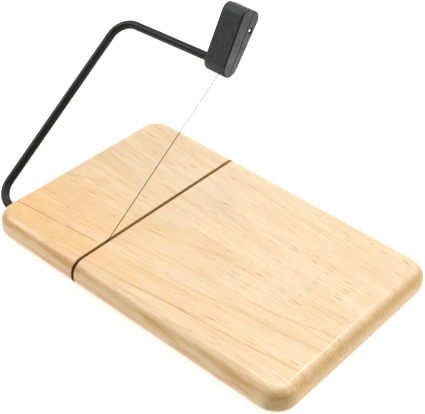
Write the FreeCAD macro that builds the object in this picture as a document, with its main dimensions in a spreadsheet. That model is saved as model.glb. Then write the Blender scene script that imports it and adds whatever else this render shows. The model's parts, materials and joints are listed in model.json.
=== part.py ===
import FreeCAD, Part
import math
import os
import Sketcher

# A wire cheese slicer on a wooden board, in millimetres.
# X runs along the board, from the arm's end to the plain end. Y runs from the front edge, beside
# which the arm pivots, to the rear edge. Z is up, and the rubber feet stand on Z = 0.
# The origin is under the middle of the box that holds the whole slicer with its arm part raised.

Vector = FreeCAD.Vector
Rotation = FreeCAD.Rotation
Placement = FreeCAD.Placement
AXIS_X = Vector(1, 0, 0)
AXIS_Y = Vector(0, 1, 0)
AXIS_Z = Vector(0, 0, 1)

# Driving dimensions: lengths in millimetres, angles in degrees.
DIMENSIONS = {
    # board
    "board_length": 241.3,
    "board_width": 158.75,
    "board_thickness": 19.05,
    "board_corner_radius": 16.2,
    "board_edge_round": 8.2,
    "board_edge_flat": 1.0,         # least flat left between the upper and lower rounds
    "groove_from_left": 76.55,
    "groove_width": 2.3,
    "groove_floor": 3.8,            # wood left under the groove
    "pivot_from_front": 19.0,
    "bore_past_groove": 14.0,
    "running_clearance": 0.08,      # all round the arm's rod in its bore
    # feet and their screws
    "foot_inset": 28.0,
    "foot_radius": 6.5,
    "foot_tip_radius": 5.6,
    "foot_height": 3.0,
    "foot_recess_radius": 3.5,
    "foot_recess_depth": 1.8,
    "foot_edge_round": 0.5,
    "foot_screw_radius": 1.4,
    "foot_screw_length": 7.5,       # from under the head to the tip
    "foot_screw_head_radius": 2.7,
    "foot_screw_head_height": 1.1,
    "foot_screw_point": 2.8,
    "screw_clearance": 0.05,        # all round a screw, dowel or rod that does not turn
    "hole_runout": 0.5,             # how much deeper a blind hole is than what goes in it
    # arm
    "rod_diameter": 6.0,
    "rod_past_groove": 12.0,
    "arm_standoff": 15.5,           # board's end to the rising leg's centre line
    "arm_reach": 148.9,             # pivot axis to the far corner of the centre line
    "arm_lean": 2.5,                # the cross leg leans this much away from the pivot
    "bend_radius": 14.0,
    "arm_angle": 38.0,              # the wire above level
    # wire, bead and anchor
    "wire_radius": 0.25,
    "wire_offset": 2.4,             # wire's line above the cross leg's centre line
    "wire_bend_radius": 20.0,
    "wire_wrap_angle": 300.0,
    "wire_hole_radius": 0.45,
    "bead_radius": 0.8,
    "bead_seat_radius": 0.95,
    "bead_seat_depth": 0.8,
    "crimp_clearance": 0.01,
    "anchor_along": 26.1,           # from the rod's axis, up the handle
    "anchor_rear": 4.6,             # from the handle's middle line, to its rear
    "anchor_shank_radius": 1.25,
    "anchor_shank_depth": 6.0,
    "anchor_head_radius": 1.6,
    "anchor_head_height": 2.6,
    "anchor_head_round": 1.2,
    "anchor_hole_radius": 2.1,
    "washer_radius": 1.9,
    "washer_thickness": 0.8,
    # handle
    "handle_width": 17.5,
    "handle_foot_radius": 7.6,
    "handle_top": 39.1,             # from the rod's axis to the top face
    "handle_taper": 3.6,            # of each side, from the handle's middle line
    "handle_corner_radius": 6.0,
    "handle_edge_round": 1.1,
    "handle_tilt": 22.4,            # steeper than the wire
    "wire_to_face": 4.0,            # wire to the handle's outer end face
    "seam_offset": 1.25,            # parting plane behind the rod's axis
    "seam_tilt": 1.0,
    "seam_chamfer": 0.4,
    "wire_slot_width": 1.2,
    "wire_slot_height": 1.7,
    "rod_to_wire": 2.2,             # end of the rod to the wire's plane
    "fixing_inset": 5.6,            # dowel and screws from the handle's inner end face
    "key_pin_radius": 1.0,
    "key_pin_length": 10.0,
    "handle_screw_first": 12.0,
    "handle_screw_pitch": 21.0,
    "handle_screw_seat": 3.6,       # under the heads, behind the middle line
    "handle_screw_radius": 1.1,
    "handle_screw_length": 8.0,
    "handle_screw_point": 2.2,
    "handle_screw_head_radius": 2.1,
    "handle_screw_head_height": 1.5,
    "handle_screw_hole_radius": 2.4,
    "recess_length": 2.2,           # cross recess in a screw's head
    "recess_width": 0.6,
    "recess_depth": 0.7,
    "point_radius": 0.2,            # blunt end of a screw's point
}

FAR = 60.0      # length of a cut that runs out of its piece
PROUD = 1.0     # how far a cutting tool stands out of the face it cuts

doc = FreeCAD.newDocument("wire_slicer_board")
sheet = doc.addObject("Spreadsheet::Sheet", "sizes")
for row, (alias, value) in enumerate(DIMENSIONS.items(), start=1):
    sheet.set("A%d" % row, alias)
    sheet.set("B%d" % row, str(value))
    sheet.setAlias("B%d" % row, alias)
doc.recompute()


def size(alias):
    """The value that the sheet holds under an alias."""
    return float(sheet.get(alias))


def cos_of(angle):
    return math.cos(math.radians(angle))


def sin_of(angle):
    return math.sin(math.radians(angle))


def tan_of(angle):
    return math.tan(math.radians(angle))


# ---- places worked out from the driving dimensions ----

rod_radius = size("rod_diameter") / 2
board_middle = size("board_thickness") / 2

# Along the pivot's axis, measured from the wire's plane.
leg_x = -(size("groove_from_left") + size("arm_standoff"))
handle_mid_x = size("wire_to_face") - size("handle_width") / 2
handle_reach = size("arm_reach") + (handle_mid_x - leg_x) * tan_of(size("arm_lean"))

# Angles above level, all about the pivot's axis.
rod_angle = size("arm_angle") - math.degrees(math.asin(size("wire_offset") / handle_reach))
handle_angle = size("arm_angle") + size("handle_tilt")


def rear_reach():
    """The rearmost point of board or handle, from the board's front edge."""
    along = size("handle_top") - size("handle_corner_radius")
    corner = size("handle_foot_radius") - size("handle_corner_radius")
    behind = corner / cos_of(size("handle_taper")) + along * tan_of(size("handle_taper"))
    handle_y = size("pivot_from_front") + handle_reach * cos_of(rod_angle)
    handle_y += along * cos_of(handle_angle) + behind * sin_of(handle_angle)
    handle_y += size("handle_corner_radius")
    return max(handle_y, size("board_width"))


def board_place():
    """The front left lower corner of the block that the board is cut from."""
    left_reach = size("arm_standoff") + rod_radius
    corner_x = -(size("board_length") - left_reach) / 2
    return Vector(corner_x, -rear_reach() / 2, size("foot_height"))


def pivot_place():
    """The point where the pivot's axis meets the wire's plane."""
    offset = Vector(size("groove_from_left"), size("pivot_from_front"), board_middle)
    return board_place() + offset


board_frame = Placement(board_place(), Rotation())
wire_frame = Placement(pivot_place(), Rotation(AXIS_X, size("arm_angle")))
rod_frame = Placement(pivot_place(), Rotation(AXIS_X, rod_angle))
handle_centre = rod_frame.multVec(Vector(handle_mid_x, handle_reach, 0))
handle_frame = Placement(handle_centre, Rotation(AXIS_X, handle_angle))
handle_half = size("handle_width") / 2
wire_x = handle_half - size("wire_to_face")             # the wire's plane in the handle's frame
fixing_x = size("fixing_inset") - handle_half           # dowel and screws in the handle's frame

# ---- helpers ----


def new_body(name, frame):
    """A body with its own label, standing in the given frame."""
    body = doc.addObject("PartDesign::Body", name)
    body.Label = name
    body.Placement = frame
    return body


def new_sketch(body, role, name):
    """A sketch on one of the body's own origin planes."""
    sketch = body.newObject("Sketcher::SketchObject", name)
    planes = [item for item in body.Origin.OriginFeatures if item.Role == role]
    sketch.AttachmentSupport = [(planes[0], "")]
    sketch.MapMode = "FlatFace"
    return sketch


def bind(feature, **expressions):
    """Tie properties to expressions in the sheet's aliases."""
    for name, expression in expressions.items():
        feature.setExpression(name, expression)


def constrain(sketch, name, expression, *arguments):
    """A named dimension of a sketch, tied to an expression."""
    index = sketch.addConstraint(Sketcher.Constraint(*arguments))
    sketch.renameConstraint(index, name)
    sketch.setExpression("Constraints." + name, expression)


def line(sketch, start, end):
    """Adds a straight line and returns its index."""
    return sketch.addGeometry(Part.LineSegment(Vector(*start), Vector(*end)), False)


def arc(sketch, centre, radius, start, end):
    """Adds an arc given by two angles in degrees and returns its index."""
    circle = Part.Circle(Vector(*centre), AXIS_Z, radius)
    edge = Part.ArcOfCircle(circle, math.radians(start), math.radians(end))
    return sketch.addGeometry(edge, False)


def polygon(sketch, points):
    """Adds a closed outline whose corners are tied together, level or upright where drawn so."""
    count = len(points)
    for index in range(count):
        line(sketch, points[index], points[(index + 1) % count])
    for index in range(count):
        following = (index + 1) % count
        sketch.addConstraint(Sketcher.Constraint("Coincident", index, 2, following, 1))
        start, end = points[index], points[following]
        if start[1] == end[1]:
            sketch.addConstraint(Sketcher.Constraint("Horizontal", index))
        elif start[0] == end[0]:
            sketch.addConstraint(Sketcher.Constraint("Vertical", index))


def place_corner(sketch, name, corner, across, upward):
    """Ties a corner's two distances from the sketch's origin to expressions."""
    if across is not None:
        constrain(sketch, name + "_x", across, "DistanceX", -1, 1, corner, 1, 1.0)
    if upward is not None:
        constrain(sketch, name + "_y", upward, "DistanceY", -1, 1, corner, 1, 1.0)


def pick_edges(shape, test):
    """Names of the edges for which the test holds."""
    return ["Edge%d" % (index + 1) for index, edge in enumerate(shape.Edges) if test(edge)]


def round_edges(body, name, base, expression, test):
    """A fillet over the base's edges that pass the test."""
    doc.recompute()
    fillet = body.newObject("PartDesign::Fillet", name)
    fillet.Base = (base, pick_edges(base.Shape, test))
    bind(fillet, Radius=expression)
    return fillet


def drill(body, name, centre, direction, radius, depth):
    """Cuts a round hole that starts at a point and runs along a direction."""
    hole = body.newObject("PartDesign::SubtractiveCylinder", name)
    hole.Placement = Placement(centre, Rotation(AXIS_Z, direction))
    bind(hole, Radius=radius, Height=depth)
    return hole


def cut_box(body, name, frame, **expressions):
    """Cuts away a box that stands at a frame's origin."""
    box = body.newObject("PartDesign::SubtractiveBox", name)
    box.Placement = frame
    bind(box, **expressions)
    return box


def is_level(edge, height):
    box = edge.BoundBox
    return abs(box.ZMin - height) < 1e-4 and abs(box.ZMax - height) < 1e-4


# ---- board ----


def make_board():
    """A rounded slab with the wire's groove, the arm's bore and four pilot holes."""
    body = new_body("board", board_frame)
    length, width, thickness = size("board_length"), size("board_width"), size("board_thickness")
    outline = new_sketch(body, "XY_Plane", "board_outline")
    polygon(outline, [(0, 0), (length, 0), (length, width), (0, width)])
    outline.addConstraint(Sketcher.Constraint("Coincident", 0, 1, -1, 1))
    place_corner(outline, "far_corner", 2, "sizes.board_length", "sizes.board_width")
    slab = body.newObject("PartDesign::Pad", "board_slab")
    slab.Profile = outline
    bind(slab, Length="sizes.board_thickness")
    corners = round_edges(body, "board_corners", slab, "sizes.board_corner_radius",
                          lambda edge: edge.BoundBox.ZLength > thickness / 2)
    widest = "(sizes.board_thickness - sizes.board_edge_flat) / 2"
    round_edges(body, "board_edges", corners, "min(sizes.board_edge_round; %s)" % widest,
                lambda edge: is_level(edge, 0) or is_level(edge, thickness))
    cut_groove(body)
    cut_bore(body)
    cut_pilots(body)
    return body


def cut_groove(body):
    """The wire's groove: a saw cut from front to rear, open at the top."""
    middle, half = size("groove_from_left"), size("groove_width") / 2
    floor, top = size("groove_floor"), size("board_thickness") + PROUD
    section = new_sketch(body, "XZ_Plane", "groove_section")
    left, right = middle - half, middle + half
    polygon(section, [(left, floor), (right, floor), (right, top), (left, top)])
    groove_left = "sizes.groove_from_left - sizes.groove_width / 2"
    groove_right = "sizes.groove_from_left + sizes.groove_width / 2"
    place_corner(section, "low_corner", 0, groove_left, "sizes.groove_floor")
    place_corner(section, "high_corner", 2, groove_right, "sizes.board_thickness + %s" % PROUD)
    groove = body.newObject("PartDesign::Pocket", "groove")
    groove.Profile = section
    groove.Type = "Length"
    bind(groove, Length="sizes.board_width")


def cut_bore(body):
    """The blind bore that the arm turns in, from the left end, at mid thickness."""
    mouth = new_sketch(body, "YZ_Plane", "bore_mouth")
    centre = Vector(size("pivot_from_front"), board_middle, 0)
    radius = rod_radius + size("running_clearance")
    mouth.addGeometry(Part.Circle(centre, AXIS_Z, radius), False)
    place = ("sizes.pivot_from_front", "sizes.board_thickness / 2")
    constrain(mouth, "across", place[0], "DistanceX", -1, 1, 0, 3, centre.x)
    constrain(mouth, "upward", place[1], "DistanceY", -1, 1, 0, 3, centre.y)
    constrain(mouth, "radius", "sizes.rod_diameter / 2 + sizes.running_clearance",
              "Radius", 0, radius)
    bore = body.newObject("PartDesign::Pocket", "bore")
    bore.Profile = mouth
    bore.Reversed = True
    bind(bore, Length="sizes.groove_from_left + sizes.bore_past_groove")


def foot_places():
    """Name and centre of each foot, on the board's underside."""
    inset = size("foot_inset")
    far_x, far_y = size("board_length") - inset, size("board_width") - inset
    return {
        "foot_front_left": Vector(inset, inset, 0),
        "foot_front_right": Vector(far_x, inset, 0),
        "foot_rear_left": Vector(inset, far_y, 0),
        "foot_rear_right": Vector(far_x, far_y, 0),
    }


def cut_pilots(body):
    """A pilot hole for each foot's screw, a little deeper than the screw reaches."""
    for name, centre in foot_places().items():
        drill(body, name + "_pilot", centre, AXIS_Z,
              "sizes.foot_screw_radius + sizes.screw_clearance",
              "sizes.foot_screw_length - sizes.foot_height + sizes.foot_recess_depth"
              " + sizes.hole_runout")


# ---- feet and screws ----


def make_foot(name, centre):
    """A rubber foot: a short tapered disc, standing on its tip, with a recess for a screw's head."""
    bottom = centre - Vector(0, 0, size("foot_height"))
    body = new_body(name, board_frame * Placement(bottom, Rotation()))
    bore = size("foot_screw_radius") + size("screw_clearance")
    recess, seat = size("foot_recess_radius"), size("foot_recess_depth")
    section = new_sketch(body, "XZ_Plane", name + "_section")
    polygon(section, [(recess, 0), (size("foot_tip_radius"), 0),
                      (size("foot_radius"), size("foot_height")), (bore, size("foot_height")),
                      (bore, seat), (recess, seat)])
    section.addConstraint(Sketcher.Constraint("PointOnObject", 0, 1, -1))
    place_corner(section, "recess", 5, "sizes.foot_recess_radius", "sizes.foot_recess_depth")
    place_corner(section, "tip", 1, "sizes.foot_tip_radius", None)
    place_corner(section, "rim", 2, "sizes.foot_radius", "sizes.foot_height")
    place_corner(section, "bore", 3, "sizes.foot_screw_radius + sizes.screw_clearance", None)
    turned = body.newObject("PartDesign::Revolution", name + "_turned")
    turned.Profile = section
    turned.ReferenceAxis = (section, ["V_Axis"])
    turned.Angle = 360
    across = 2 * size("foot_tip_radius")
    round_edges(body, name + "_round", turned, "sizes.foot_edge_round",
                lambda edge: is_level(edge, 0) and abs(edge.BoundBox.XLength - across) < 1e-3)
    return body


def add_cylinder(body, name, height_above, radius, length):
    """Adds a cylinder on the body's Z axis."""
    cylinder = body.newObject("PartDesign::AdditiveCylinder", name)
    cylinder.Placement = Placement(Vector(0, 0, height_above), Rotation())
    bind(cylinder, Radius=radius, Height=length)
    return cylinder


def screw_body(name, frame, kind):
    """A cross-headed screw along its body's +Z, the seat of its head at Z = 0."""
    body = new_body(name, frame)
    values = "sizes." + kind
    head = size(kind + "_head_height")
    add_cylinder(body, name + "_head", -head, values + "_head_radius", values + "_head_height")
    point_start = size(kind + "_length") - size(kind + "_point")
    add_cylinder(body, name + "_shank", 0, values + "_radius",
                 "%s_length - %s_point" % (values, values))
    point = body.newObject("PartDesign::AdditiveCone", name + "_point")
    point.Placement = Placement(Vector(0, 0, point_start), Rotation())
    bind(point, Radius1=values + "_radius", Radius2="sizes.point_radius",
         Height=values + "_point")
    half_long, half_wide = size("recess_length") / 2, size("recess_width") / 2
    for turn in (0, 90):
        rotation = Rotation(AXIS_Z, turn)
        corner = Vector(-half_long, -half_wide, -head - PROUD)
        arm = Placement(rotation.multVec(corner), rotation)
        cut_box(body, "%s_recess_%d" % (name, turn), arm, Length="sizes.recess_length",
                Width="sizes.recess_width", Height="sizes.recess_depth + %s" % PROUD)
    return body


def repeat(body, name, role, length, second_role=None, second_length=None):
    """Copies the whole body along one or two of its axes, as separate solids."""
    doc.recompute()
    axes = {item.Role: item for item in body.Origin.OriginFeatures}
    pattern = body.newObject("PartDesign::LinearPattern", name)
    pattern.TransformMode = "Whole shape"
    pattern.Direction = (axes[role], [""])
    pattern.Occurrences = 2
    bind(pattern, Length=length)
    if second_role:
        pattern.Direction2 = (axes[second_role], [""])
        pattern.Occurrences2 = 2
        bind(pattern, Length2=second_length)
    body.Tip = pattern


def make_foot_screws():
    """Four identical screws that hold the feet to the board."""
    seat = size("foot_recess_depth") - size("foot_height")
    first = Placement(foot_places()["foot_front_left"] + Vector(0, 0, seat), Rotation())
    body = screw_body("foot_screws", board_frame * first, "foot_screw")
    repeat(body, "foot_screws_pattern", "X_Axis", "sizes.board_length - 2 * sizes.foot_inset",
           "Y_Axis", "sizes.board_width - 2 * sizes.foot_inset")
    return body


# ---- arm ----


def make_arm_rod():
    """One bent rod: a leg in the board's bore, a rising leg, and a leg across to the handle."""
    body = new_body("arm_rod", rod_frame)
    bend, lean = size("bend_radius"), size("arm_lean")
    reach, tail = size("arm_reach"), size("rod_past_groove")
    centre_y = reach - bend * tan_of((90 - lean) / 2)
    centre = Vector(leg_x + bend, centre_y, 0)
    corner = centre + Vector(-bend * sin_of(lean), bend * cos_of(lean), 0)
    run = (-size("rod_to_wire") - corner.x) / cos_of(lean)
    tip = corner + Vector(run * cos_of(lean), run * sin_of(lean), 0)
    path = new_sketch(body, "XY_Plane", "arm_path")
    line(path, (tail, 0), (leg_x + bend, 0))
    arc(path, (leg_x + bend, bend), bend, 180, 270)
    line(path, (leg_x, bend), (leg_x, centre_y))
    arc(path, (centre.x, centre.y), bend, 90 + lean, 180)
    line(path, (corner.x, corner.y), (tip.x, tip.y))
    for first, first_end, second, second_end in ((0, 2, 1, 2), (1, 1, 2, 1), (2, 2, 3, 2),
                                                 (3, 1, 4, 1)):
        joint = Sketcher.Constraint("Tangent", first, first_end, second, second_end)
        path.addConstraint(joint)
    path.addConstraint(Sketcher.Constraint("PointOnObject", 0, 1, -1))
    path.addConstraint(Sketcher.Constraint("Horizontal", 0))
    path.addConstraint(Sketcher.Constraint("Vertical", 2))
    constrain(path, "tail", "sizes.rod_past_groove", "DistanceX", -1, 1, 0, 1, tail)
    constrain(path, "rise", "sizes.groove_from_left + sizes.arm_standoff",
              "DistanceX", 2, 1, -1, 1, -leg_x)
    constrain(path, "lower_bend", "sizes.bend_radius", "Radius", 1, bend)
    constrain(path, "upper_bend", "sizes.bend_radius", "Radius", 3, bend)
    constrain(path, "reach",
              "sizes.arm_reach - sizes.bend_radius * tan((90 - sizes.arm_lean) / 2)",
              "DistanceY", -1, 1, 3, 3, centre_y)
    constrain(path, "lean", "sizes.arm_lean * 1 deg", "Angle", 4, math.radians(lean))
    constrain(path, "end", "sizes.rod_to_wire", "DistanceX", 4, 2, -1, 1, -tip.x)
    ring = new_sketch(body, "YZ_Plane", "arm_section")
    bind(ring, **{"AttachmentOffset.Base.z": "sizes.rod_past_groove"})
    ring.addGeometry(Part.Circle(Vector(0, 0, 0), AXIS_Z, rod_radius), False)
    ring.addConstraint(Sketcher.Constraint("Coincident", 0, 3, -1, 1))
    constrain(ring, "radius", "sizes.rod_diameter / 2", "Radius", 0, rod_radius)
    doc.recompute()
    pipe = body.newObject("PartDesign::AdditivePipe", "arm_bent")
    pipe.Profile = ring
    pipe.Spine = (path, [])
    along_wire = Rotation(AXIS_X, size("arm_angle") - rod_angle).multVec(AXIS_Y)
    drill(body, "wire_hole", along_wire * -FAR / 2, along_wire, "sizes.wire_hole_radius", str(FAR))
    seat = rod_radius - size("bead_seat_depth")
    drill(body, "bead_seat", along_wire * -seat, -along_wire, "sizes.bead_seat_radius",
          "sizes.bead_seat_depth + %s" % PROUD)
    pin_axis = rod_frame.Rotation.inverted().multVec(handle_frame.Rotation.multVec(AXIS_Z))
    drill(body, "key_pin_hole", key_pin_centre(rod_frame) - pin_axis * FAR / 2, pin_axis,
          "sizes.key_pin_radius + sizes.screw_clearance", str(FAR))
    return body


def key_pin_centre(frame):
    """Where the dowel crosses the rod, in the coordinates of the given frame."""
    past_middle = fixing_x * tan_of(size("arm_lean"))
    on_rod = Vector(handle_mid_x + fixing_x, handle_reach + past_middle, 0)
    return frame.inverse().multVec(rod_frame.multVec(on_rod))


# ---- wire and what holds it ----


def bead_centre():
    """How far behind the pivot's axis the bead sits, on the rim of the wire's hole."""
    rim = math.sqrt(size("bead_radius") ** 2 - size("wire_hole_radius") ** 2)
    return rod_radius - size("bead_seat_depth") + rim


def anchor_place():
    """The anchor pin's axis in the wire's frame."""
    in_handle = Vector(wire_x, size("anchor_along"), -size("anchor_rear"))
    return wire_frame.inverse().multVec(handle_frame.multVec(in_handle))


def wrap_radius():
    return size("anchor_shank_radius") + size("wire_radius") + size("crimp_clearance")


def wire_bend():
    """Where the wire bends inside the handle, and by how many degrees."""
    handle_y = wire_frame.inverse().multVec(handle_centre).y
    start = handle_y - size("handle_foot_radius") / 2
    anchor = anchor_place()
    aim = math.atan2(anchor.z, anchor.y - start)
    spread = math.asin(wrap_radius() / math.hypot(anchor.y - start, anchor.z))
    return start, math.degrees(aim - spread)


def make_cutting_wire():
    """The taut wire: straight from the bead to the handle, then once round the anchor pin."""
    body = new_body("cutting_wire", wire_frame)
    start, turn = wire_bend()
    anchor, wrap, bend = anchor_place(), wrap_radius(), size("wire_bend_radius")
    tail = bead_centre() + size("bead_radius")
    bend_start = start - bend * tan_of(turn / 2)
    bend_end = (bend_start + bend * sin_of(turn), bend - bend * cos_of(turn))
    touch = (anchor.y + wrap * sin_of(turn), anchor.z - wrap * cos_of(turn))
    path = new_sketch(body, "YZ_Plane", "wire_path")
    line(path, (-tail, 0), (bend_start, 0))
    arc(path, (bend_start, bend), bend, 270, 270 + turn)
    line(path, bend_end, touch)
    arc(path, (anchor.y, anchor.z), wrap, turn - 90, turn - 90 + size("wire_wrap_angle"))
    path.addConstraint(Sketcher.Constraint("PointOnObject", 0, 1, -1))
    path.addConstraint(Sketcher.Constraint("Horizontal", 0))
    for first in (0, 1, 2):
        path.addConstraint(Sketcher.Constraint("Tangent", first, 2, first + 1, 1))
    path.addConstraint(Sketcher.Constraint("DistanceX", 0, 1, -1, 1, tail))
    path.addConstraint(Sketcher.Constraint("DistanceX", -1, 1, 3, 3, anchor.y))
    path.addConstraint(Sketcher.Constraint("DistanceY", -1, 1, 3, 3, anchor.z))
    path.addConstraint(Sketcher.Constraint("DistanceX", -1, 1, 0, 2, bend_start))
    constrain(path, "bend", "sizes.wire_bend_radius", "Radius", 1, bend)
    constrain(path, "wrap",
              "sizes.anchor_shank_radius + sizes.wire_radius + sizes.crimp_clearance",
              "Radius", 3, wrap)
    constrain(path, "wrap_angle", "sizes.wire_wrap_angle * 1 deg",
              "Angle", 3, math.radians(size("wire_wrap_angle")))
    ring = new_sketch(body, "XZ_Plane", "wire_section")
    ring.AttachmentOffset = Placement(Vector(0, 0, tail), Rotation())
    ring.addGeometry(Part.Circle(Vector(0, 0, 0), AXIS_Z, size("wire_radius")), False)
    ring.addConstraint(Sketcher.Constraint("Coincident", 0, 3, -1, 1))
    constrain(ring, "radius", "sizes.wire_radius", "Radius", 0, size("wire_radius"))
    doc.recompute()
    pipe = body.newObject("PartDesign::AdditivePipe", "wire_drawn")
    pipe.Profile = ring
    pipe.Spine = (path, [])
    return body


def make_wire_bead():
    """The bead crimped on the wire's lower end, behind the rod."""
    ball = doc.addObject("Part::Sphere", "bead_ball")
    bind(ball, Radius="sizes.bead_radius")
    hole = doc.addObject("Part::Cylinder", "bead_hole")
    hole.Placement = Placement(Vector(0, -FAR / 2, 0), Rotation(AXIS_Z, AXIS_Y))
    bind(hole, Radius="sizes.wire_radius + sizes.crimp_clearance", Height=str(FAR))
    bead = doc.addObject("Part::Cut", "wire_bead")
    bead.Label = "wire_bead"
    bead.Base = ball
    bead.Tool = hole
    bead.Placement = wire_frame * Placement(Vector(0, -bead_centre(), 0), Rotation())
    return bead


def anchor_frame(inward):
    """A frame on the anchor pin's axis, its +Z pointing into the handle."""
    place = Vector(wire_x + inward, size("anchor_along"), -size("anchor_rear"))
    return handle_frame * Placement(place, Rotation(AXIS_Z, -AXIS_X))


def washer_seat():
    """The washer's inner face, just outside the turn of wire, from the wire's plane."""
    return size("wire_radius") + size("crimp_clearance")


def make_anchor_washer():
    """The washer that presses on the turn of wire."""
    outer = doc.addObject("Part::Cylinder", "washer_disc")
    bind(outer, Radius="sizes.washer_radius", Height="sizes.washer_thickness")
    inner = doc.addObject("Part::Cylinder", "washer_bore")
    bind(inner, Radius="sizes.anchor_shank_radius + sizes.crimp_clearance",
         Height="sizes.washer_thickness")
    washer = doc.addObject("Part::Cut", "anchor_washer")
    washer.Label = "anchor_washer"
    washer.Base = outer
    washer.Tool = inner
    washer.Placement = anchor_frame(washer_seat() + size("washer_thickness"))
    return washer


def make_anchor_pin():
    """The domed pin that the wire is wound round, seen down a hole in the handle's end face."""
    body = new_body("anchor_pin", anchor_frame(washer_seat() + size("washer_thickness")))
    head = size("anchor_head_height")
    add_cylinder(body, "anchor_shank", 0, "sizes.anchor_shank_radius",
                 "sizes.washer_thickness + 2 * sizes.wire_radius + sizes.anchor_shank_depth")
    button = add_cylinder(body, "anchor_head", -head, "sizes.anchor_head_radius",
                          "sizes.anchor_head_height")
    round_edges(body, "anchor_dome", button, "sizes.anchor_head_round",
                lambda edge: is_level(edge, -head))
    return body


# ---- handle ----


def handle_block(body, name):
    """The whole handle before it is parted: a tapered block with a round foot."""
    foot, taper = size("handle_foot_radius"), size("handle_taper")
    top = size("handle_top")
    half = foot / cos_of(taper) + top * tan_of(taper)
    touch = Vector(-foot * sin_of(taper), foot * cos_of(taper), 0)
    section = new_sketch(body, "YZ_Plane", name + "_section")
    arc(section, (0, 0), foot, 90 + taper, 270 - taper)
    line(section, (touch.x, -touch.y), (top, -half))
    line(section, (top, -half), (top, half))
    line(section, (top, half), (touch.x, touch.y))
    section.addConstraint(Sketcher.Constraint("Coincident", 0, 3, -1, 1))
    section.addConstraint(Sketcher.Constraint("Tangent", 0, 2, 1, 1))
    section.addConstraint(Sketcher.Constraint("Coincident", 1, 2, 2, 1))
    section.addConstraint(Sketcher.Constraint("Coincident", 2, 2, 3, 1))
    section.addConstraint(Sketcher.Constraint("Tangent", 3, 2, 0, 1))
    section.addConstraint(Sketcher.Constraint("Symmetric", 2, 1, 2, 2, -1))
    constrain(section, "foot", "sizes.handle_foot_radius", "Radius", 0, foot)
    constrain(section, "top", "sizes.handle_top", "DistanceX", -1, 1, 2, 1, top)
    constrain(section, "taper", "-sizes.handle_taper * 1 deg", "Angle", 1, -math.radians(taper))
    block = body.newObject("PartDesign::Pad", name + "_block")
    block.Profile = section
    block.Midplane = True
    bind(block, Length="sizes.handle_width")
    corners = round_edges(body, name + "_corners", block, "sizes.handle_corner_radius",
                          lambda edge: abs(edge.BoundBox.YMin - top) < 1e-4
                          and edge.BoundBox.XLength > handle_half)
    round_edges(body, name + "_edges", corners, "sizes.handle_edge_round",
                lambda edge: edge.BoundBox.XLength < 1e-4)


def seam_frame():
    """The parting plane in the handle's frame: its Z is square to the plane, towards the front."""
    tilt = Rotation(AXIS_X, size("seam_tilt"))
    return Placement(tilt.multVec(Vector(0, 0, -size("seam_offset"))), tilt)


def break_seam(body, name, parted):
    """A small chamfer round the parting plane, which shows as a fine line on the closed handle."""
    doc.recompute()
    to_seam = seam_frame().inverse()

    def lies_on_seam(edge):
        ends = [to_seam.multVec(vertex.Point) for vertex in edge.Vertexes]
        return all(abs(point.z) < 1e-4 for point in ends)

    chamfer = body.newObject("PartDesign::Chamfer", name + "_chamfer")
    chamfer.Base = (parted, pick_edges(parted.Shape, lies_on_seam))
    bind(chamfer, Size="sizes.seam_chamfer")


def handle_shell(name, is_front):
    """One half of the handle, with its share of every hole and slot."""
    body = new_body(name, handle_frame)
    handle_block(body, name)
    lift = -FAR if is_front else 0.0
    waste = seam_frame() * Placement(Vector(-FAR / 2, -FAR / 2, lift), Rotation())
    parted = cut_box(body, name + "_parted", waste, Length=str(FAR), Width="2 * %s" % FAR,
                     Height=str(FAR))
    break_seam(body, name, parted)
    lean = Vector(cos_of(size("arm_lean")), sin_of(size("arm_lean")), 0)
    along_rod = handle_frame.Rotation.inverted().multVec(rod_frame.Rotation.multVec(lean))
    entry = along_rod * (-(handle_half + PROUD) / cos_of(size("arm_lean")))
    drill(body, name + "_rod_hole", entry, along_rod,
          "sizes.rod_diameter / 2 + sizes.screw_clearance",
          "(sizes.handle_width - sizes.wire_to_face - sizes.rod_to_wire + %s)"
          " / cos(sizes.arm_lean) + sizes.screw_clearance" % PROUD)
    pin_reach = size("key_pin_length") / 2 + size("screw_clearance")
    drill(body, name + "_pin_hole", key_pin_centre(handle_frame) - AXIS_Z * pin_reach, AXIS_Z,
          "sizes.key_pin_radius + sizes.screw_clearance",
          "sizes.key_pin_length + 2 * sizes.screw_clearance")
    cut_wire_slot(body, name)
    cut_screw_holes(body, name, is_front)
    return body


def cut_wire_slot(body, name):
    """The narrow slot that the wire runs in, from the handle's foot to the anchor pin."""
    start, turn = wire_bend()
    to_handle = handle_frame.inverse() * wire_frame
    slope = Placement(Vector(0, start, 0), Rotation(AXIS_X, turn))
    before = 2 * size("handle_foot_radius")
    corner = Vector(-size("wire_slot_width") / 2, -before, -size("wire_slot_height") / 2)
    anchor = anchor_place()
    run = math.hypot(anchor.y - start, anchor.z) + before
    slot = cut_box(body, name + "_wire_slot", to_handle * slope * Placement(corner, Rotation()),
                   Length="sizes.wire_slot_width", Height="sizes.wire_slot_height")
    slot.Width = run


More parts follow.
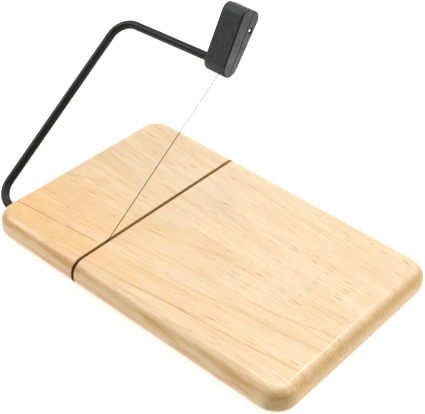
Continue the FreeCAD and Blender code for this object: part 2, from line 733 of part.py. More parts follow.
def cut_screw_holes(body, name, is_front):
    """The holes of the two shell screws and, in the rear shell, the anchor pin's."""
    seat = -size("handle_screw_seat")
    for index in (0, 1):
        along = size("handle_screw_first") + index * size("handle_screw_pitch")
        centre = Vector(fixing_x, along, seat)
        drill(body, "%s_screw_hole_%d" % (name, index), centre, AXIS_Z,
              "sizes.handle_screw_radius + sizes.screw_clearance",
              "sizes.handle_screw_length + sizes.hole_runout")
        if not is_front:
            drill(body, "%s_head_hole_%d" % (name, index), centre, -AXIS_Z,
                  "sizes.handle_screw_hole_radius", str(FAR))
    if is_front:
        return
    outside = Vector(handle_half + PROUD, size("anchor_along"), -size("anchor_rear"))
    drill(body, name + "_anchor_hole", outside, -AXIS_X, "sizes.anchor_hole_radius",
          "sizes.wire_to_face + sizes.wire_radius + sizes.crimp_clearance + %s" % PROUD)
    drill(body, name + "_anchor_pilot", outside, -AXIS_X,
          "sizes.anchor_shank_radius + sizes.crimp_clearance",
          "sizes.wire_to_face + sizes.wire_radius + sizes.anchor_shank_depth"
          " + sizes.hole_runout + %s" % PROUD)


def make_handle_screws():
    """Two identical screws that close the handle, put in from the rear."""
    place = Vector(fixing_x, size("handle_screw_first"), -size("handle_screw_seat"))
    body = screw_body("handle_screws", handle_frame * Placement(place, Rotation()), "handle_screw")
    repeat(body, "handle_screws_pattern", "Y_Axis", "sizes.handle_screw_pitch")
    return body


def make_key_pin():
    """The dowel through the rod's end, with both ends held in the shells."""
    pin = doc.addObject("Part::Cylinder", "rod_key_pin")
    pin.Label = "rod_key_pin"
    bind(pin, Radius="sizes.key_pin_radius", Height="sizes.key_pin_length")
    start = key_pin_centre(handle_frame) - Vector(0, 0, size("key_pin_length") / 2)
    pin.Placement = handle_frame * Placement(start, Rotation())
    return pin


# ---- build, check and write ----

pieces = [make_board()]
pieces += [make_foot(name, centre) for name, centre in foot_places().items()]
pieces += [make_foot_screws(), make_arm_rod(), make_cutting_wire(), make_wire_bead()]
pieces += [make_anchor_washer(), make_anchor_pin()]
pieces += [handle_shell("handle_front_shell", True), handle_shell("handle_rear_shell", False)]
pieces += [make_handle_screws(), make_key_pin()]
doc.recompute()

for item in doc.Objects:
    if "Invalid" in item.State or "Error" in item.State:
        raise RuntimeError("%s did not build: %s" % (item.Label, item.State))
for piece in pieces:
    if piece.Shape.isNull() or not piece.Shape.isValid():
        raise RuntimeError("%s has no valid shape" % piece.Label)

os.makedirs("parts", exist_ok=True)
for piece in pieces:
    piece.Shape.exportStep("parts/%s.step" % piece.Label)
    box = piece.Shape.BoundBox
    print("%-20s %2d solid(s) %10.2f mm3  x %8.2f %8.2f  y %8.2f %8.2f  z %7.2f %7.2f"
          % (piece.Label, len(piece.Shape.Solids), piece.Shape.Volume, box.XMin, box.XMax,
             box.YMin, box.YMax, box.ZMin, box.ZMax))
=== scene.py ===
import bpy
import json
import math
from mathutils import Matrix, Vector


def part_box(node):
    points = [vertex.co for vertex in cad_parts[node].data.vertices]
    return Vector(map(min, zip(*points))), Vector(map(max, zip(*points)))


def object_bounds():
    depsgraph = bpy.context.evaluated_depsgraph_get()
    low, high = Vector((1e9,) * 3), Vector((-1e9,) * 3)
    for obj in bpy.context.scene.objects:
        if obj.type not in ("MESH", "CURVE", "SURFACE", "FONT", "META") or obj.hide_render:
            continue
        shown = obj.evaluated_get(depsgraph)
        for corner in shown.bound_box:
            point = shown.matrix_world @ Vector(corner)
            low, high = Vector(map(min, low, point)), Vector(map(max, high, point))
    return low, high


# looks, light and camera for the wire cheese slicer
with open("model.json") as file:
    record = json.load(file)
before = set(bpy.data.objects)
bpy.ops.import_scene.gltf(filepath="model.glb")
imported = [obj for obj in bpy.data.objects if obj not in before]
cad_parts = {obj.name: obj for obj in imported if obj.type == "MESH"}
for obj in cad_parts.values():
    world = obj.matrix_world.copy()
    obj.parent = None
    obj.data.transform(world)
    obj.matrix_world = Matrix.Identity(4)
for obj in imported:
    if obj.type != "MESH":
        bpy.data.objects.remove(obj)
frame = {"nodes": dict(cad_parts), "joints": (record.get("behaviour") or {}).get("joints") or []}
cadLow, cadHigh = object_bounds()
nodes = frame["nodes"]
boardLow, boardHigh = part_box("board")
boardMiddle = (boardLow + boardHigh) / 2
pivot = Vector(frame["joints"][0]["pos_m"])
perMetre = 1000   # patterns are in millimetres, everything else in metres
print("frame loaded with", len(nodes), "parts")


# small helpers for node trees

def addNode(tree, kind, **settings):
    made = tree.nodes.new("ShaderNode" + kind)
    for name, value in settings.items():
        setattr(made, name, value)
    return made


def feed(tree, socket, value):   # a socket is linked, anything else is typed in
    if isinstance(value, bpy.types.NodeSocket):
        tree.links.new(value, socket)
    else:
        socket.default_value = value


def maths(tree, operation, first, second=0.0, third=0.0, clamp=False):
    made = addNode(tree, "Math", operation=operation, use_clamp=clamp)
    for socket, value in zip(made.inputs, (first, second, third)):
        feed(tree, socket, value)
    return made.outputs[0]


def times(tree, first, second):
    return maths(tree, "MULTIPLY", first, second)


def remap(tree, value, low, high, newLow=0.0, newHigh=1.0):   # smooth step between two levels
    made = addNode(tree, "MapRange", interpolation_type="SMOOTHSTEP")
    for name, amount in zip(("Value", "From Min", "From Max", "To Min", "To Max"),
                            (value, low, high, newLow, newHigh)):
        feed(tree, made.inputs[name], amount)
    return made.outputs[0]


def blend(tree, amount, first, second):
    made = addNode(tree, "Mix", data_type="RGBA")
    feed(tree, made.inputs[0], amount)
    feed(tree, made.inputs[6], first)
    feed(tree, made.inputs[7], second)
    return made.outputs[2]


def combine(tree, x, y, z):
    made = addNode(tree, "CombineXYZ")
    for socket, value in zip(made.inputs, (x, y, z)):
        feed(tree, socket, value)
    return made.outputs[0]


def noise(tree, vector, scale, detail, roughness):
    made = addNode(tree, "TexNoise")
    feed(tree, made.inputs["Vector"], vector)
    feed(tree, made.inputs["Scale"], scale)
    made.inputs["Detail"].default_value = detail
    made.inputs["Roughness"].default_value = roughness
    return made.outputs[0]


def placeInMillimetres(tree, centre=(0, 0, 0)):   # Object coordinates about a centre
    coordinates = addNode(tree, "TexCoord")
    mapping = addNode(tree, "Mapping", vector_type="POINT")
    mapping.inputs["Scale"].default_value = (perMetre, perMetre, perMetre)
    mapping.inputs["Location"].default_value = tuple(-perMetre * c for c in centre)
    tree.links.new(coordinates.outputs["Object"], mapping.inputs["Vector"])
    return mapping.outputs[0]


def split(tree, vector):
    made = addNode(tree, "SeparateXYZ")
    feed(tree, made.inputs[0], vector)
    return made.outputs


def solid(colour):
    return (*colour, 1)


def newMaterial(name):
    material = bpy.data.materials.new(name)
    material.use_nodes = True
    return material, material.node_tree, material.node_tree.nodes["Principled BSDF"]


def bump(tree, height, distance, strength):
    made = addNode(tree, "Bump")
    made.inputs["Strength"].default_value = strength
    made.inputs["Distance"].default_value = distance
    feed(tree, made.inputs["Height"], height)
    return made.outputs[0]


def dress(material, slot, *names):
    for name in names:
        piece = nodes[name]
        piece.data.materials.clear()
        piece.data.materials.append(material)


# effects that several finishes share, each a node group built once
effects = {
    "edgeSamples": 6,
    "edgeTurn": (0.90, 0.995, 1.0, 0.0),       # cosine of the turn, from rubbed to untouched
    "edgePatches": (0.30, 0.65, 0.35, 1.0),
    "coarser": 0.22,                           # frequency of the coarse grain over that of the fine
    "smudges": (0.34, 0.68),
}


def startGroup(name, inputs, outputs):
    group = bpy.data.node_groups.new(name, "ShaderNodeTree")
    for title, kind, value in inputs:
        socket = group.interface.new_socket(name=title, in_out="INPUT", socket_type="NodeSocket" + kind)
        if value is not None:
            socket.default_value = value
    for title in outputs:
        group.interface.new_socket(name=title, in_out="OUTPUT", socket_type="NodeSocketFloat")
    return group, group.nodes.new("NodeGroupInput").outputs, group.nodes.new("NodeGroupOutput").inputs


def makeRubbedEdges():   # 1 where the surface turns sharply within Radius, broken up so it looks rubbed
    group, given, result = startGroup("rubbed edges", [
        ("Place", "Vector", None), ("Radius", "Float", 0.0006), ("Patch Size", "Float", 6.0)], ["Mask"])
    rounded = addNode(group, "Bevel", samples=effects["edgeSamples"])
    feed(group, rounded.inputs["Radius"], given["Radius"])
    plain = addNode(group, "NewGeometry")
    agree = addNode(group, "VectorMath", operation="DOT_PRODUCT")
    feed(group, agree.inputs[0], rounded.outputs[0])
    feed(group, agree.inputs[1], plain.outputs["Normal"])
    turned = remap(group, agree.outputs["Value"], *effects["edgeTurn"])
    patchy = noise(group, given["Place"], maths(group, "DIVIDE", 1.0, given["Patch Size"]), 3.0, 0.6)
    feed(group, result["Mask"], times(group, turned, remap(group, patchy, *effects["edgePatches"])))
    return group


def makeFineGrain():   # two sizes of grain added together, Grain from 0 to 1 about 0.5
    group, given, result = startGroup("fine grain", [
        ("Place", "Vector", None), ("Size", "Float", 0.4), ("Coarse Share", "Float", 0.4)],
        ["Grain", "Coarse"])
    fine = noise(group, given["Place"], maths(group, "DIVIDE", 1.0, given["Size"]), 2.0, 0.6)
    coarse = noise(group, given["Place"], maths(group, "DIVIDE", effects["coarser"], given["Size"]), 2.0, 0.5)
    apart = maths(group, "SUBTRACT", coarse, fine)
    feed(group, result["Grain"], maths(group, "MULTIPLY_ADD", apart, given["Coarse Share"], fine))
    feed(group, result["Coarse"], coarse)
    return group


def makeHandling():   # soft smudges from hands and wiping: a roughness between Low and High
    group, given, result = startGroup("handling smudges", [
        ("Place", "Vector", None), ("Size", "Float", 18.0), ("Low", "Float", 0.3), ("High", "Float", 0.5)],
        ["Roughness", "Smudge"])
    cloud = noise(group, given["Place"], maths(group, "DIVIDE", 1.0, given["Size"]), 4.0, 0.62)
    smudge = remap(group, cloud, *effects["smudges"])
    spread = maths(group, "SUBTRACT", given["High"], given["Low"])
    feed(group, result["Roughness"], maths(group, "MULTIPLY_ADD", smudge, spread, given["Low"]))
    feed(group, result["Smudge"], smudge)
    return group


rubbedEdges = makeRubbedEdges()
fineGrain = makeFineGrain()
handling = makeHandling()


def useGroup(tree, group, **values):   # underscores in the keywords stand for spaces in socket names
    made = addNode(tree, "Group", node_tree=group)
    for name, value in values.items():
        feed(tree, made.inputs[name.replace("_", " ")], value)
    return made.outputs


print("shared effects built")


wood = {
    "pale": (0.812, 0.634, 0.428),
    "honey": (0.790, 0.500, 0.222),
    "cloud": (0.700, 0.440, 0.220),
    "brown": (0.540, 0.270, 0.085),
    "poreDark": (0.290, 0.110, 0.014),
    "grooveRim": (0.640, 0.390, 0.110),
    # the deep colour of the groove: saw scorch, darkened further as painted shade
    "burntAndShaded": (0.150, 0.058, 0.010),
    "endGrain": (0.560, 0.315, 0.070),
    "slantGrainShade": (0.330, 0.200, 0.036),   # fibres cut at a slant round the corners, painted darker still as painted shade of the corners
    "nosePatch": (0.620, 0.325, 0.090),
    # painted shade: the olive of the round front and rear edges
    "noseOliveShade": (0.715, 0.485, 0.222),
    "rubbedPale": (0.900, 0.760, 0.580),
    "pithBelow": 30.0,      # heart of the tree under the top face
    "pithAcross": -2.0,
    "taper": 0.105,         # the rings open towards the left end
    "ringSway": 4.0,        # how far the rings wander
    "fibreShare": 0.8,      # how much of the taper the fibres follow
    "poreRun": (15.0, 0.58, 0.58),
    "loopTurns": 90.0,      # oval lines round the patches of the round edges
    "sawnDepth": 2.0,       # how unevenly the saw burnt the groove, and how far down the painted shade in it starts
    "grooveCover": 0.95,
    "rubbedShare": 0.5,
    "poreDull": 0.10,       # roughness that a pore adds
    "poreDip": -0.6,
    "fibreRelief": 0.40,
    "reliefDepth": 0.00012,
    "reliefStrength": 0.6,
    "coatRoughness": 0.19,
    "specular": 0.22,
    "smudges": {"Size": 26.0, "Low": 0.36, "High": 0.50},
    "edges": {"Radius": 0.0005, "Patch_Size": 5.0},
    # noise patterns: run along the board, across it and with depth, then detail, roughness
    # and a start that keeps one pattern apart from the next
    "figures": {
        "sway": (83.333, 33.333, 20.0, 1.0, 0.50, 0.0),
        "bands": (150.0, 9.0, 30.0, 2.0, 0.50, 0.0),
        "soft": (75.0, 2.4, 2.4, 3.0, 0.65, 0.0),
        "clouds": (70.0, 16.0, 16.0, 2.0, 0.55, 0.0),
        "threads": (20.0, 0.75, 0.75, 4.0, 0.75, 3.0),
        "threadBands": (60.0, 5.0, 5.0, 1.0, 0.50, 11.0),
        "linePatches": (22.0, 1.0, 1.0, 2.0, 0.50, 0.0),
        "poreClusters": (26.0, 7.0, 7.0, 2.0, 0.50, 0.0),
        "layers": (34.0, 4.5, 20.0, 2.0, 0.50, 0.0),   # depth comes before across here
        "ticks": (6.0, 0.8, 3.5, 3.0, 0.65, 0.0),
        "sawn": (1.0, 3.0, 0.5, 2.0, 0.50, 0.0),
        "relief": (10.0, 0.35, 0.35, 2.0, 0.60, 5.0),
        "sheen": (40.0, 4.0, 4.0, 2.0, 0.50, 19.0),
    },
    # where a change starts and where it is full, then how much of it there is at each
    "steps": {
        "toneAlong": (-125, 30, 0.46, 0.10),       # honey at the left, paler to the right
        "toneAcross": (-75, 55, 0.50, -0.32),      # honey at the front, paler to the rear
        "acrossFade": (-60, 60, 1.0, 0.25),
        "bands": (0.32, 0.72, -0.18, 0.26),
        "soft": (0.30, 0.70, -0.36, 0.40),
        "clouds": (0.42, 0.68, 0.0, 0.28),
        "threads": (0.46, 0.70, 0.0, 0.50),
        "threadBands": (0.36, 0.64, 0.25, 1.0),
        "linePatches": (0.30, 0.60, 0.25, 1.0),
        "lineSide": (-6, 4, 0.0, 1.0),
        "poreRim": (0.15, 0.29, 1.0, 0.0),
        "poreClusters": (0.42, 0.66, 0.03, 0.58),
        "poreAlong": (-110, 40, 0.45, 1.0),
        "poreDepth": (0.10, 0.90, 0.45, 1.0),
        "noseTurn": (0.28, 0.90, 0.0, 1.0),        # how far the face has turned to the front or rear
        "nosePatches": (0.44, 0.60, 0.0, 1.0),
        "noseCover": (0.35, 0.60, 0.50, 0.80),
        "loops": (0.20, 1.00, 0.0, 0.22),
        "endTurn": (0.15, 0.78, 0.0, 1.0),
        "endTicks": (0.32, 0.66, 0.50, 1.0),
        "slantTurn": (0.01, 0.44, 0.0, 1.0),
        "slantTicks": (0.30, 0.70, 0.55, 0.85),
        "grooveEdge": (1.13, 1.26, 1.0, 0.0),
        # painted shade: the groove is darker near the front end, where less light gets in
        "frontShade": (-76, -40, 1.8, 0.0),
        "scorchAndDepthShade": (2.0, 6.5, 0.0, 1.0),
        "sheen": (0.30, 0.70, 0.74, 0.98),
    },
    "lineCore": 0.10,       # half width of a growth line's darkest part
    "lineFade": 14.0,       # each line fades in and out over this length
    # ring radius, side (-1 front, 1 rear), from and to along the board, strength, width
    "growthLines": [
        (54.2, -1, -125, -40, 0.95, 0.8),
        (54.6, -1, 0, 130, 0.30, 0.9),
        (71.2, -1, -25, 130, 0.80, 0.7),
        (46.2, -1, 45, 130, 0.26, 0.8),
        (33.0, -1, -45, 40, 0.22, 0.8),
        (20.6, -1, -125, -75, 0.26, 0.8),
        (26.0, 1, -125, -60, 0.22, 0.8),
        (40.2, 1, -40, 15, 0.26, 1.1),
        (68.5, 1, 30, 100, 0.18, 0.8),
    ],
}


def figure(tree, name, x, y, z, shift=0.0):   # noise drawn out by the runs of a named pattern
    along, across, deep, detail, roughness, start = wood["figures"][name]
    drawn = combine(tree, maths(tree, "MULTIPLY_ADD", x, 1 / along, start + shift),
                    times(tree, y, 1 / across), times(tree, z, 1 / deep))
    return noise(tree, drawn, 1.0, detail, roughness)


def step(tree, name, value):
    return remap(tree, value, *wood["steps"][name])


def growthRings(tree, x, y, z):   # rings are cones about a level line: distance from it + taper * x
    across = maths(tree, "SUBTRACT", y, wood["pithAcross"])
    up = maths(tree, "ADD", z, wood["pithBelow"])
    radius = maths(tree, "SQRT", maths(tree, "ADD", times(tree, across, across), times(tree, up, up)))
    sway = maths(tree, "SUBTRACT", figure(tree, "sway", x, y, z), 0.5)
    swayed = maths(tree, "MULTIPLY_ADD", sway, wood["ringSway"], radius)
    ring = maths(tree, "MULTIPLY_ADD", x, wood["taper"], swayed)
    # fibres follow the rings' slope where they meet the face
    slope = maths(tree, "DIVIDE", across, radius)
    fibre = maths(tree, "MULTIPLY_ADD", times(tree, x, slope), wood["taper"] * wood["fibreShare"], y)
    return across, ring, fibre


def bodyColour(tree, x, y, z, ring, fibre):   # broad bands, soft streaks, clouds and threads of darker fibre
    frontTone = times(tree, step(tree, "acrossFade", x), step(tree, "toneAcross", y))
    drift = maths(tree, "ADD", step(tree, "toneAlong", x), frontTone)
    bands = step(tree, "bands", figure(tree, "bands", x, ring, z))
    soft = step(tree, "soft", figure(tree, "soft", x, fibre, z))
    tone = maths(tree, "ADD", maths(tree, "ADD", drift, bands), soft, clamp=True)
    colour = blend(tree, tone, solid(wood["pale"]), solid(wood["honey"]))
    clouds = step(tree, "clouds", figure(tree, "clouds", x, fibre, z))
    colour = blend(tree, clouds, colour, solid(wood["cloud"]))
    threads = times(tree, step(tree, "threads", figure(tree, "threads", x, fibre, z)),
                    step(tree, "threadBands", figure(tree, "threadBands", x, fibre, z)))
    return blend(tree, threads, colour, solid(wood["brown"]))


def growthLine(tree, x, z, across, ring, fibre, value, side, start, stop, width):
    gap = maths(tree, "ABSOLUTE", maths(tree, "SUBTRACT", ring, value))
    line = remap(tree, gap, wood["lineCore"], width, 1.0, 0.0)
    half = step(tree, "lineSide", times(tree, across, side))
    reach = times(tree, remap(tree, x, start, start + wood["lineFade"]),
                  remap(tree, x, stop - wood["lineFade"], stop, 1.0, 0.0))
    patchy = step(tree, "linePatches", figure(tree, "linePatches", x, fibre, z, value))
    return times(tree, times(tree, line, half), times(tree, reach, patchy))


def findPores(tree, x, z, fibre):   # short dark dashes in loose clusters, thicker on the right half
    cells = addNode(tree, "TexVoronoi", feature="F1")
    cells.inputs["Scale"].default_value = 1.0
    along, across, deep = wood["poreRun"]
    drawn = combine(tree, times(tree, x, 1 / along), times(tree, fibre, 1 / across), times(tree, z, 1 / deep))
    feed(tree, cells.inputs["Vector"], drawn)
    chance = split(tree, cells.outputs["Color"])   # random numbers, the same all over one pore
    clusters = step(tree, "poreClusters", figure(tree, "poreClusters", x, fibre, z))
    share = times(tree, clusters, step(tree, "poreAlong", x))
    dash = times(tree, step(tree, "poreRim", cells.outputs["Distance"]), step(tree, "poreDepth", chance[1]))
    return times(tree, dash, maths(tree, "LESS_THAN", chance[0], share))


def noseColourAndShade(tree, x, y, z, turned, colour):   # round edges cut into other layers, with brown patches; the olive under them is painted shade of the turned sides
    layers = figure(tree, "layers", x, z, y)
    nose = blend(tree, step(tree, "nosePatches", layers), solid(wood["noseOliveShade"]), solid(wood["nosePatch"]))
    loops = step(tree, "loops", maths(tree, "SINE", times(tree, layers, wood["loopTurns"])))
    nose = blend(tree, loops, nose, solid(wood["brown"]))
    cover = times(tree, step(tree, "noseTurn", turned), step(tree, "noseCover", layers))
    return blend(tree, cover, colour, nose)


def endColourAndCornerShade(tree, x, y, z, endTurned, frontTurned, colour):
    # end grain drinks the oil and goes darker; the corners, where the fibres are cut at a slant, are darker
    # still, partly as painted shade
    ticks = figure(tree, "ticks", x, y, z)
    cover = times(tree, step(tree, "endTurn", endTurned), step(tree, "endTicks", ticks))
    colour = blend(tree, cover, colour, solid(wood["endGrain"]))
    cornerSlantShade = step(tree, "slantTurn", times(tree, endTurned, frontTurned))
    return blend(tree, times(tree, cornerSlantShade, step(tree, "slantTicks", ticks)), colour, solid(wood["slantGrainShade"]))


def scorchAndShadeColour(tree, y, z):   # the groove is scorched by the saw; it is painted darker with depth and towards the front, as painted shade of the deep slot
    sawn = figure(tree, "sawn", 0.0, y, z)
    depth = maths(tree, "MULTIPLY_ADD", sawn, wood["sawnDepth"], times(tree, z, -1.0))
    depth = maths(tree, "ADD", depth, step(tree, "frontShade", y))
    return blend(tree, step(tree, "scorchAndDepthShade", depth), solid(wood["grooveRim"]), solid(wood["burntAndShaded"]))


def makeWood():
    material, tree, shader = newMaterial("oiled rubberwood")
    place = placeInMillimetres(tree, (boardMiddle.x, boardMiddle.y, boardHigh.z))
    x, y, z = split(tree, place)
    facing = split(tree, addNode(tree, "TexCoord").outputs["Normal"])
    endTurned = maths(tree, "ABSOLUTE", facing[0])
    frontTurned = maths(tree, "ABSOLUTE", facing[1])
    across, ring, fibre = growthRings(tree, x, y, z)

    colour = bodyColour(tree, x, y, z, ring, fibre)
    for value, side, start, stop, strength, width in wood["growthLines"]:
        line = growthLine(tree, x, z, across, ring, fibre, value, side, start, stop, width)
        colour = blend(tree, times(tree, line, strength), colour, solid(wood["brown"]))
    pores = findPores(tree, x, z, fibre)
    colour = blend(tree, pores, colour, solid(wood["poreDark"]))
    colour = noseColourAndShade(tree, x, y, z, frontTurned, colour)
    colour = endColourAndCornerShade(tree, x, y, z, endTurned, frontTurned, colour)

    grooveMiddle = (pivot.x - boardMiddle.x) * perMetre
    inGroove = step(tree, "grooveEdge", maths(tree, "ABSOLUTE", maths(tree, "SUBTRACT", x, grooveMiddle)))
    colour = blend(tree, times(tree, inGroove, wood["grooveCover"]), colour, scorchAndShadeColour(tree, y, z))

    # eased edges are rubbed pale, outside the groove
    rubbed = useGroup(tree, rubbedEdges, Place=place, **wood["edges"])["Mask"]
    rubbed = times(tree, rubbed, maths(tree, "SUBTRACT", 1.0, inGroove))
    colour = blend(tree, times(tree, rubbed, wood["rubbedShare"]), colour, solid(wood["rubbedPale"]))
    feed(tree, shader.inputs["Base Color"], colour)

    wiped = useGroup(tree, handling, Place=place, **wood["smudges"])["Roughness"]
    feed(tree, shader.inputs["Roughness"], maths(tree, "MULTIPLY_ADD", pores, wood["poreDull"], wiped))
    raised = times(tree, figure(tree, "relief", x, fibre, z), wood["fibreRelief"])
    relief = maths(tree, "MULTIPLY_ADD", pores, wood["poreDip"], raised)
    feed(tree, shader.inputs["Normal"], bump(tree, relief, wood["reliefDepth"], wood["reliefStrength"]))
    feed(tree, shader.inputs["Coat Weight"], step(tree, "sheen", figure(tree, "sheen", x, fibre, z)))
    shader.inputs["Coat Roughness"].default_value = wood["coatRoughness"]
    shader.inputs["Specular IOR Level"].default_value = wood["specular"]
    return material


dress(makeWood(), "wood", "board")
print("wood done")


coating = {
    "black": (0.0075, 0.0077, 0.0083),
    "bloom": (0.017, 0.017, 0.0185),       # the greyer skin on the high spots of the powder
    "rubbed": (0.045, 0.044, 0.043),
    "bloomRise": (0.42, 0.66),
    "rubbedShare": 0.6,
    "rubbedShine": -0.08,                  # what rubbing takes off the roughness
    "peel": {"Size": 0.9, "Coarse_Share": 0.35},
    "smudges": {"Size": 14.0, "Low": 0.24, "High": 0.34},
    "edges": {"Radius": 0.0006, "Patch_Size": 4.0},
    "peelDepth": 0.00005,
    "peelStrength": 0.7,
    "specular": 0.26,
}


def makeCoating():
    material, tree, shader = newMaterial("satin black powder coating")
    place = placeInMillimetres(tree)
    peel = useGroup(tree, fineGrain, Place=place, **coating["peel"])["Grain"]
    wiped = useGroup(tree, handling, Place=place, **coating["smudges"])["Roughness"]
    rubbed = useGroup(tree, rubbedEdges, Place=place, **coating["edges"])["Mask"]
    bloom = remap(tree, peel, *coating["bloomRise"])
    colour = blend(tree, bloom, solid(coating["black"]), solid(coating["bloom"]))
    colour = blend(tree, times(tree, rubbed, coating["rubbedShare"]), colour, solid(coating["rubbed"]))
    feed(tree, shader.inputs["Base Color"], colour)
    feed(tree, shader.inputs["Roughness"], maths(tree, "MULTIPLY_ADD", rubbed, coating["rubbedShine"], wiped))
    feed(tree, shader.inputs["Normal"], bump(tree, peel, coating["peelDepth"], coating["peelStrength"]))
    shader.inputs["Specular IOR Level"].default_value = coating["specular"]
    return material


dress(makeCoating(), "black_coating", "arm_rod")


grip = {
    "charcoal": (0.006, 0.0062, 0.007),
    "high": (0.034, 0.035, 0.038),         # the tops of the spark texture
    "endReflection": (0.110, 0.112, 0.116),      # painted reflection: the flat ends are painted paler grey, broken up by the coarse grain
    "edge": (0.002, 0.002, 0.002),         # painted shade: the rolled edges and the seam are painted dead black; they also lose the texture
    "highRise": (0.38, 0.64),
    "coarseRise": (0.40, 0.60, 0.35, 1.0),
    "edgeStart": (0.10, 0.30),             # how far sideways the rolled edge begins to face
    "edgeStop": (0.90, 0.98, 1.0, 0.0),
    "flatEnd": (0.96, 0.995),
    "reflectionReach": 33.0,                     # how far up from the foot the painted reflection on the ends reaches
    "reflectionLeft": 0.15,
    "reflectionShare": 0.8,
    "rubbedShine": -0.22,
    "textureLoss": 0.7,
    "spark": {"Size": 0.42, "Coarse_Share": 0.45},
    "smudges": {"Size": 11.0, "Low": 0.44, "High": 0.58},
    "seamShade": {"Radius": 0.0006, "Patch_Size": 7.0},
    "sparkDepth": 0.00010,
    "sparkStrength": 0.8,
    "specular": 0.5,
}


def makeHandlePlastic():
    material, tree, shader = newMaterial("charcoal handle plastic")
    place = placeInMillimetres(tree)
    spark = useGroup(tree, fineGrain, Place=place, **grip["spark"])
    wiped = useGroup(tree, handling, Place=place, **grip["smudges"])["Roughness"]
    seamShade = useGroup(tree, rubbedEdges, Place=place, **grip["seamShade"])["Mask"]
    sideways = maths(tree, "ABSOLUTE", split(tree, addNode(tree, "TexCoord").outputs["Normal"])[0])
    rolledEdgeShade = times(tree, remap(tree, sideways, *grip["edgeStart"]), remap(tree, sideways, *grip["edgeStop"]))
    # painted shade: this mask darkens the rolled edges and the seam in the colour, it is not wear
    rubbed = maths(tree, "MAXIMUM", rolledEdgeShade, seamShade)
    high = remap(tree, spark["Grain"], *grip["highRise"])
    colour = blend(tree, high, solid(grip["charcoal"]), solid(grip["high"]))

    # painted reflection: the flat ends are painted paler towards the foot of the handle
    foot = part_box("handle_front_shell")[0].z * perMetre
    nearFoot = remap(tree, split(tree, place)[2], foot, foot + grip["reflectionReach"], 1.0, grip["reflectionLeft"])
    coarse = times(tree, remap(tree, spark["Coarse"], *grip["coarseRise"]), grip["reflectionShare"])
    paintedEndReflection = times(tree, times(tree, remap(tree, sideways, *grip["flatEnd"]), nearFoot), coarse)
    colour = blend(tree, paintedEndReflection, colour, solid(grip["endReflection"]))
    # painted shade on the edges and the seam
    colour = blend(tree, rubbed, colour, solid(grip["edge"]))
    feed(tree, shader.inputs["Base Color"], colour)

    feed(tree, shader.inputs["Roughness"], maths(tree, "MULTIPLY_ADD", rubbed, grip["rubbedShine"], wiped))
    texture = maths(tree, "SUBTRACT", 1.0, times(tree, rubbed, grip["textureLoss"]))
    relief = maths(tree, "MULTIPLY_ADD", maths(tree, "SUBTRACT", spark["Grain"], 0.5), texture, 0.5)
    feed(tree, shader.inputs["Normal"], bump(tree, relief, grip["sparkDepth"], grip["sparkStrength"]))
    shader.inputs["Specular IOR Level"].default_value = grip["specular"]
    return material


dress(makeHandlePlastic(), "handle_plastic", "handle_front_shell", "handle_rear_shell")


wire = {
    "name": "drawn wire steel",
    "bright": (0.060, 0.058, 0.050),
    "stain": (0.030, 0.028, 0.024),
    "grain": {"Size": 0.12, "Coarse_Share": 0.5},
    "smudges": {"Size": 3.0, "Low": 0.30, "High": 0.44},
}
zinc = {
    "name": "zinc plated steel",
    "bright": (0.74, 0.74, 0.75),
    "stain": (0.50, 0.49, 0.46),
    "grain": {"Size": 0.25, "Coarse_Share": 0.5},
    "smudges": {"Size": 3.0, "Low": 0.16, "High": 0.30},
}
metals = {   # what the wire and the fixings share
    "edges": {"Radius": 0.0003, "Patch_Size": 2.0},
    "tarnish": 0.4,                        # share of the grain and of the smudges that shows as stain
    "rubbedShare": 0.6,
    "grainDepth": 0.00001,
    "grainStrength": 0.5,
}


def makeMetal(kind):
    material, tree, shader = newMaterial(kind["name"])
    place = placeInMillimetres(tree)
    grain = useGroup(tree, fineGrain, Place=place, **kind["grain"])["Grain"]
    wiped = useGroup(tree, handling, Place=place, **kind["smudges"])
    rubbed = useGroup(tree, rubbedEdges, Place=place, **metals["edges"])["Mask"]
    smudged = times(tree, wiped["Smudge"], metals["tarnish"])
    tarnish = maths(tree, "MULTIPLY_ADD", grain, metals["tarnish"], smudged)
    colour = blend(tree, tarnish, solid(kind["bright"]), solid(kind["stain"]))
    colour = blend(tree, times(tree, rubbed, metals["rubbedShare"]), colour, solid(kind["bright"]))
    feed(tree, shader.inputs["Base Color"], colour)
    feed(tree, shader.inputs["Roughness"], wiped["Roughness"])
    feed(tree, shader.inputs["Normal"], bump(tree, grain, metals["grainDepth"], metals["grainStrength"]))
    shader.inputs["Metallic"].default_value = 1.0
    return material


dress(makeMetal(wire), "wire_steel", "cutting_wire", "wire_bead")
dress(makeMetal(zinc), "screw_steel",
      "anchor_washer", "anchor_pin", "handle_screws", "rod_key_pin", "foot_screws")


rubber = {
    "black": (0.022, 0.022, 0.022),
    "chalky": (0.075, 0.072, 0.068),       # dust picked up from the worktop
    "dustHeight": 1.6,
    "dustOnEdges": 0.5,
    "dustShare": 0.7,
    "grain": {"Size": 0.5, "Coarse_Share": 0.3},
    "smudges": {"Size": 5.0, "Low": 0.62, "High": 0.82},
    "edges": {"Radius": 0.0007, "Patch_Size": 3.0},
    "grainDepth": 0.00006,
    "grainStrength": 0.7,
}


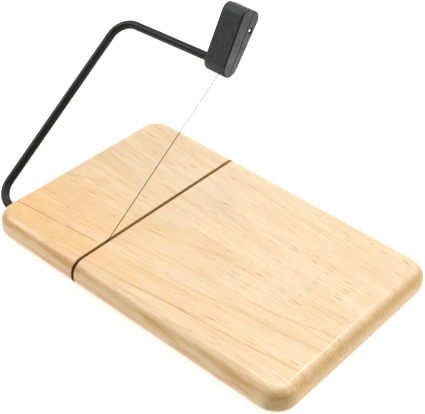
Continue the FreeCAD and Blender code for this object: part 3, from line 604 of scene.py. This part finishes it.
def makeRubber():
    material, tree, shader = newMaterial("black foot rubber")
    place = placeInMillimetres(tree)
    grain = useGroup(tree, fineGrain, Place=place, **rubber["grain"])["Grain"]
    wiped = useGroup(tree, handling, Place=place, **rubber["smudges"])
    rubbed = useGroup(tree, rubbedEdges, Place=place, **rubber["edges"])["Mask"]
    nearFloor = remap(tree, split(tree, place)[2], 0.0, rubber["dustHeight"], 1.0, 0.0)
    dusty = maths(tree, "ADD", times(tree, rubbed, rubber["dustOnEdges"]),
                  times(tree, nearFloor, wiped["Smudge"]), clamp=True)
    dusty = times(tree, dusty, rubber["dustShare"])
    colour = blend(tree, dusty, solid(rubber["black"]), solid(rubber["chalky"]))
    feed(tree, shader.inputs["Base Color"], colour)
    feed(tree, shader.inputs["Roughness"], wiped["Roughness"])
    feed(tree, shader.inputs["Normal"], bump(tree, grain, rubber["grainDepth"], rubber["grainStrength"]))
    return material


dress(makeRubber(), "foot_rubber", "foot_front_left", "foot_front_right", "foot_rear_left", "foot_rear_right")
print("coating, plastic, steel and rubber done")


studio = {
    "floorSize": 4.0,
    "floorColour": (0.82, 0.82, 0.82),
    "floorGlow": 0.62,                     # keeps the shadows on the floor faint
    "floorBounce": 0.22,                   # the same glow, as the lower edges of the board get it
    "floorRoughness": 0.9,
    "floorSpecular": 0.2,
    "backdrop": 1.05,
    "airBright": 0.88,
    "airDim": 0.28,
    "dimSide": (0.50, -0.82, 0.28),        # the room is dimmest this way
    "dimming": (-0.2, 0.9),                # from the far side to the dimmest
    "lamps": [   # name, direction from the board (turn, height), distance, size, strength
        ("overhead", (170, 78), 1.4, 1.2, 5.0),
        ("edge light", (214, 61), 1.4, 0.26, 2.1),
        ("end light", (193, 52), 1.4, 0.22, 1.1),
        ("right rear", (105, 34), 1.5, 0.9, 4.2),
        ("left front", (-62, 44), 1.5, 0.8, 5.2),
    ],
}


def direction(turn, height):   # turn 0 looks from the front, 90 from the right end
    swing = math.radians(turn)
    rise = math.radians(height)
    return Vector((math.sin(swing) * math.cos(rise), -math.cos(swing) * math.cos(rise), math.sin(rise)))


def makeFloor():
    half = studio["floorSize"] / 2
    sheet = bpy.data.meshes.new("studio floor")
    corners = [(x, y, cadLow.z) for x, y in ((-half, -half), (half, -half), (half, half), (-half, half))]
    sheet.from_pydata(corners, [], [(0, 1, 2, 3)])
    floor = bpy.data.objects.new("studio_floor", sheet)
    bpy.context.scene.collection.objects.link(floor)
    material, tree, shader = newMaterial("pale floor")
    shader.inputs["Base Color"].default_value = solid(studio["floorColour"])
    shader.inputs["Roughness"].default_value = studio["floorRoughness"]
    shader.inputs["Specular IOR Level"].default_value = studio["floorSpecular"]
    shader.inputs["Emission Color"].default_value = (1, 1, 1, 1)
    bounce = addNode(tree, "LightPath").outputs["Is Diffuse Ray"]
    change = studio["floorBounce"] - studio["floorGlow"]
    glow = maths(tree, "MULTIPLY_ADD", bounce, change, studio["floorGlow"])
    feed(tree, shader.inputs["Emission Strength"], glow)
    sheet.materials.append(material)


def makeAir():   # the air's light falls off smoothly towards one side of the room
    world = bpy.data.worlds.new("studio air")
    world.use_nodes = True
    tree = world.node_tree
    air = tree.nodes["Background"]
    air.inputs["Color"].default_value = (1, 1, 1, 1)
    towards = addNode(tree, "VectorMath", operation="DOT_PRODUCT")
    feed(tree, towards.inputs[0], addNode(tree, "TexCoord").outputs["Generated"])
    towards.inputs[1].default_value = tuple(Vector(studio["dimSide"]).normalized())
    fallOff = remap(tree, towards.outputs["Value"], *studio["dimming"], studio["airBright"], studio["airDim"])
    seen = addNode(tree, "LightPath").outputs["Is Camera Ray"]   # the backdrop itself stays plain and pale
    feed(tree, air.inputs["Strength"], maths(tree, "MAXIMUM", fallOff, times(tree, seen, studio["backdrop"])))
    bpy.context.scene.world = world


def hangLamps():
    for name, (turn, height), distance, size, strength in studio["lamps"]:
        lamp = bpy.data.lights.new(name, "AREA")
        lamp.shape = "DISK"
        lamp.size = size
        lamp.energy = strength
        holder = bpy.data.objects.new(name, lamp)
        bpy.context.scene.collection.objects.link(holder)
        away = direction(turn, height)
        holder.location = boardMiddle + away * distance
        holder.rotation_euler = (-away).to_track_quat("-Z", "Y").to_euler()


camera = {
    "turn": 38.24,          # round from the front towards the right end, degrees
    "height": 38.62,        # above level, degrees
    "roll": 3.92,
    "distance": 0.74376,
    "lens": 92.88,
    "sensor": 36.0,
    "near": 0.01,
    "far": 20.0,
    "aimFromBoard": (-0.0262, 0.03396, 0.0),
}


def makeCamera():
    view = bpy.data.cameras.new("camera")
    view.lens = camera["lens"]
    view.sensor_width = camera["sensor"]
    view.clip_start = camera["near"]
    view.clip_end = camera["far"]
    holder = bpy.data.objects.new("camera", view)
    bpy.context.scene.collection.objects.link(holder)
    back = direction(camera["turn"], camera["height"])
    aim = boardMiddle + Vector(camera["aimFromBoard"])
    right = Vector((0, 0, 1)).cross(back).normalized()
    up = back.cross(right)
    turn = math.radians(camera["roll"])
    axisX = right * math.cos(turn) + up * math.sin(turn)
    axisY = up * math.cos(turn) - right * math.sin(turn)
    spot = aim + back * camera["distance"]
    holder.matrix_world = Matrix((
        (axisX.x, axisY.x, back.x, spot.x),
        (axisX.y, axisY.y, back.y, spot.y),
        (axisX.z, axisY.z, back.z, spot.z),
        (0, 0, 0, 1)))
    bpy.context.scene.camera = holder


makeFloor()
makeAir()
hangLamps()
makeCamera()
bpy.context.scene.view_settings.view_transform = "Standard"
print("studio and camera set")
